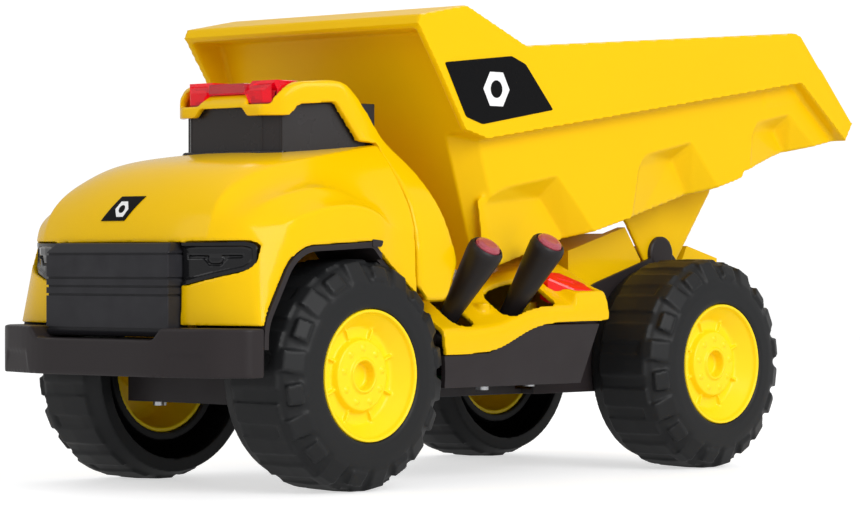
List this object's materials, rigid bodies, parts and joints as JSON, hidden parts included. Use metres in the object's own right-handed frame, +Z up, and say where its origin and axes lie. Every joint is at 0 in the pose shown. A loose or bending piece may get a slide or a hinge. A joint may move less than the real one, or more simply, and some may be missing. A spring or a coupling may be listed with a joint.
{
  "type": "toy dump truck",
  "caption": "Chunky toy dump truck with a tipping bed, rolling wheels, two joystick levers, a sound button and a light bar on the cab roof.",
  "frame": {"origin": "on the floor under the middle of the truck's bounding box", "axes": "+X to the truck's own left side, -Y towards the nose, +Z up"},
  "size_m": [0.1821, 0.446, 0.2127],
  "materials": {
    "yellow_plastic": "smooth moulded yellow, semi-gloss",
    "rim_yellow": "moulded amber yellow, semi-gloss",
    "dark_plastic": "fine-grained charcoal plastic",
    "gloss_black": "polished black plastic",
    "window_black": "satin black plastic windows",
    "label_black": "printed vinyl label",
    "lever_black": "matte black plastic",
    "red_clear": "clear red plastic",
    "lens_clear": "clear tinted lens",
    "tyre_black": "hard moulded tyre, satin charcoal",
    "gear_plastic": "natural moulded acetal",
    "circuit_green": "green circuit board",
    "cell_steel": "nickel-plated can",
    "steel": "bright zinc-plated steel"
  },
  "bodies": {
    "chassis": {"chassis_tray": "dark_plastic", "front_bumper": "dark_plastic", "grille": "dark_plastic", "headlight_left": "gloss_black", "headlight_right": "gloss_black", "cab_front_shell": "yellow_plastic", "cab_rear_shell": "yellow_plastic", "window_insert": "window_black", "light_bar_lens": "red_clear", "light_bar_board": "circuit_green", "fender_liner_left": "dark_plastic", "fender_liner_right": "dark_plastic", "side_deck": "yellow_plastic", "rear_frame": "yellow_plastic", "hood_badge": "label_black", "battery_box": "dark_plastic", "battery_door": "dark_plastic", "batteries": "cell_steel", "battery_contacts": "steel", "circuit_board": "circuit_green", "speaker": "dark_plastic", "lever_switch_board": "circuit_green", "drive_gearbox": "gear_plastic", "drive_motor": "cell_steel", "lift_gearbox": "gear_plastic", "lift_motor": "cell_steel", "chassis_screws": "steel", "door_screw": "steel", "button_switch_board": "circuit_green", "lever_cradles": "dark_plastic"},
    "front_wheels": {"front_axle": "steel", "front_rim_left": "rim_yellow", "front_rim_right": "rim_yellow", "front_tyre_left": "tyre_black", "front_tyre_right": "tyre_black"},
    "rear_wheels": {"rear_axle": "steel", "rear_rim_left": "rim_yellow", "rear_rim_right": "rim_yellow", "rear_tyre_left": "tyre_black", "rear_tyre_right": "tyre_black", "axle_gear": "gear_plastic"},
    "drive_gear": {"drive_pinion": "gear_plastic"},
    "dump_bed": {"bed_shell": "yellow_plastic", "bed_badge_left": "label_black", "bed_badge_right": "label_black", "bed_hinge_pin": "steel", "lift_sector": "gear_plastic"},
    "lift_gear": {"lift_pinion": "gear_plastic"},
    "front_lever": {"lever_front": "lever_black", "lever_front_lens": "lens_clear"},
    "rear_lever": {"lever_rear": "lever_black", "lever_rear_lens": "lens_clear"},
    "button": {"sound_button": "red_clear"},
    "switch": {"power_switch": "lever_black"}
  },
  "joints": [
    {"name": "front_axle_spin", "type": "hinge", "parent": "chassis", "child": "front_wheels", "pos_m": [0, -0.137, 0.05], "axis": [1, 0, 0], "continuous": true},
    {"name": "rear_axle_spin", "type": "hinge", "parent": "chassis", "child": "rear_wheels", "pos_m": [0, 0.097, 0.05], "axis": [1, 0, 0], "continuous": true},
    {"name": "drive_pinion_spin", "type": "hinge", "parent": "chassis", "child": "drive_gear", "pos_m": [0, 0.08285, 0.05], "axis": [1, 0, 0], "continuous": true},
    {"name": "bed_hinge", "type": "hinge", "parent": "chassis", "child": "dump_bed", "pos_m": [0, 0.105, 0.1025], "axis": [-1, 0, 0], "range_deg": [0, 45]},
    {"name": "lift_pinion_spin", "type": "hinge", "parent": "chassis", "child": "lift_gear", "pos_m": [0, 0.09043, 0.07726], "axis": [-1, 0, 0], "range_deg": [-217, 1]},
    {"name": "front_lever_tilt", "type": "hinge", "parent": "chassis", "child": "front_lever", "pos_m": [0.0546, -0.066, 0.0646], "axis": [0, 1, 0], "range_deg": [-14, 6], "stiffness_Nm_per_rad": 0.05},
    {"name": "rear_lever_tilt", "type": "hinge", "parent": "chassis", "child": "rear_lever", "pos_m": [0.0546, -0.026, 0.0646], "axis": [1, 0, 0], "range_deg": [-18, 18], "stiffness_Nm_per_rad": 0.05},
    {"name": "button_press", "type": "slide", "parent": "chassis", "child": "button", "axis": [0, 0, -1], "range_m": [0, 0.002], "stiffness_N_per_m": 300},
    {"name": "switch_slide", "type": "slide", "parent": "chassis", "child": "switch", "axis": [0, 1, 0], "range_m": [0, 0.003]}
  ],
  "couplings": [
    {"joint": "drive_pinion_spin", "follows": "rear_axle_spin", "ratio": -1.8},
    {"joint": "lift_pinion_spin", "follows": "bed_hinge", "ratio": -4.8}
  ]
}
